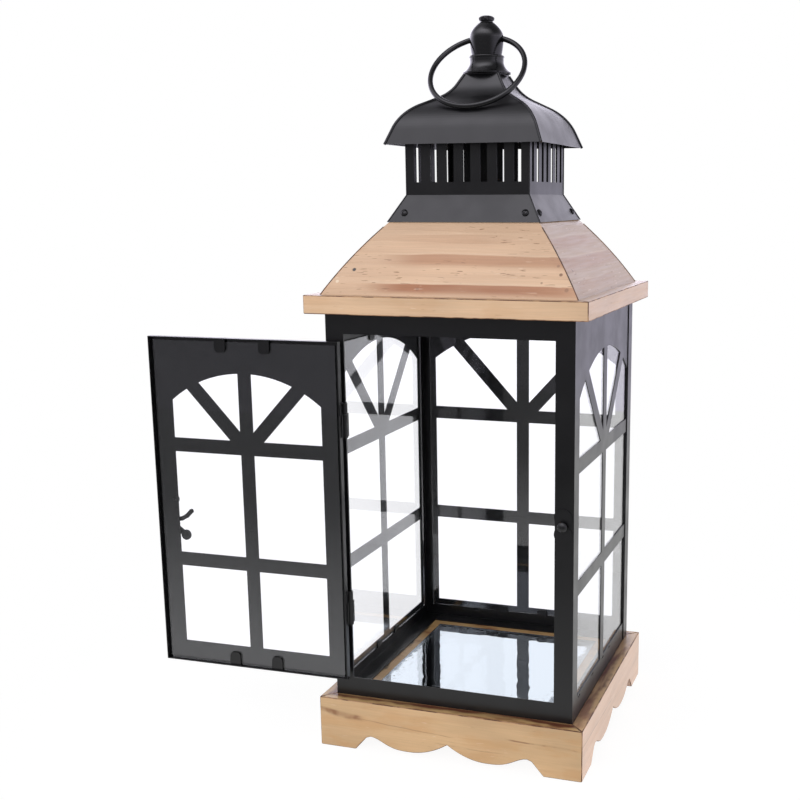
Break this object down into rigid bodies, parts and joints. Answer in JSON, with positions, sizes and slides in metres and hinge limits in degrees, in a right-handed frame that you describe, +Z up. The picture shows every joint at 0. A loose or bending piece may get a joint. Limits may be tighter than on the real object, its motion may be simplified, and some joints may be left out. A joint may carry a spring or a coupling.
{
  "type": "floor lantern",
  "caption": "Square floor-standing candle lantern: scalloped wooden base, black metal cage with arched lattice windows, hinged glazed door, hipped wooden roof, slotted chimney and ring handle.",
  "frame": {"origin": "on the floor, under the centre of the square base", "axes": "+Z up, -Y the door side, +X to the right of someone facing the door"},
  "size_m": [0.3944, 0.2441, 0.6319],
  "materials": {
    "pine": "clear satin lacquer over light pine with broad growth rings",
    "black_metal": "matte black powder coat on thin sheet",
    "pane": "clear window glass",
    "mirror": "silvered mirror glass",
    "dark_steel": "blackened steel"
  },
  "bodies": {
    "lantern": {"base_apron_front": "pine", "base_apron_right": "pine", "base_apron_back": "pine", "base_apron_left": "pine", "base_board": "pine", "base_corner_blocks": "pine", "mirror_plate": "mirror", "front_frame": "black_metal", "left_panel": "black_metal", "right_panel": "black_metal", "back_panel": "black_metal", "glass_left": "pane", "glass_right": "pane", "glass_back": "pane", "latch_stud": "dark_steel", "stud_plate": "black_metal", "hinge_upper_frame_leaf": "black_metal", "hinge_upper_pin": "dark_steel", "hinge_lower_frame_leaf": "black_metal", "hinge_lower_pin": "dark_steel", "eave_front": "pine", "eave_right": "pine", "eave_back": "pine", "eave_left": "pine", "roof_front": "pine", "roof_right": "pine", "roof_back": "pine", "roof_left": "pine", "vent_front": "black_metal", "vent_right": "black_metal", "vent_back": "black_metal", "vent_left": "black_metal", "vent_screws": "dark_steel", "cap_front": "black_metal", "cap_right": "black_metal", "cap_back": "black_metal", "cap_left": "black_metal", "cap_top_plate": "black_metal", "finial_collar": "black_metal", "finial_bolt": "dark_steel", "finial_nut": "dark_steel", "finial_body": "black_metal", "finial_cap": "black_metal"},
    "door": {"door_frame": "black_metal", "door_glass": "pane", "hinge_upper_door_leaf": "black_metal", "hinge_lower_door_leaf": "black_metal", "latch_rivet": "dark_steel"},
    "latch": {"latch_hook": "black_metal"},
    "ring": {"ring_handle": "black_metal"}
  },
  "joints": [
    {"name": "door_hinge", "type": "hinge", "parent": "lantern", "child": "door", "pos_m": [-0.0914, -0.11105, 0.21], "axis": [0, 0, 1], "range_deg": [-15, 179]},
    {"name": "latch_swing", "type": "hinge", "parent": "door", "child": "latch", "pos_m": [-0.25906, -0.11498, 0.215], "axis": [0.0175, -0.9998, 0], "range_deg": [0, 262]},
    {"name": "ring_swing", "type": "hinge", "parent": "lantern", "child": "ring", "pos_m": [0, 0, 0.61217], "axis": [-1, 0, 0], "range_deg": [0, 275.5]}
  ]
}
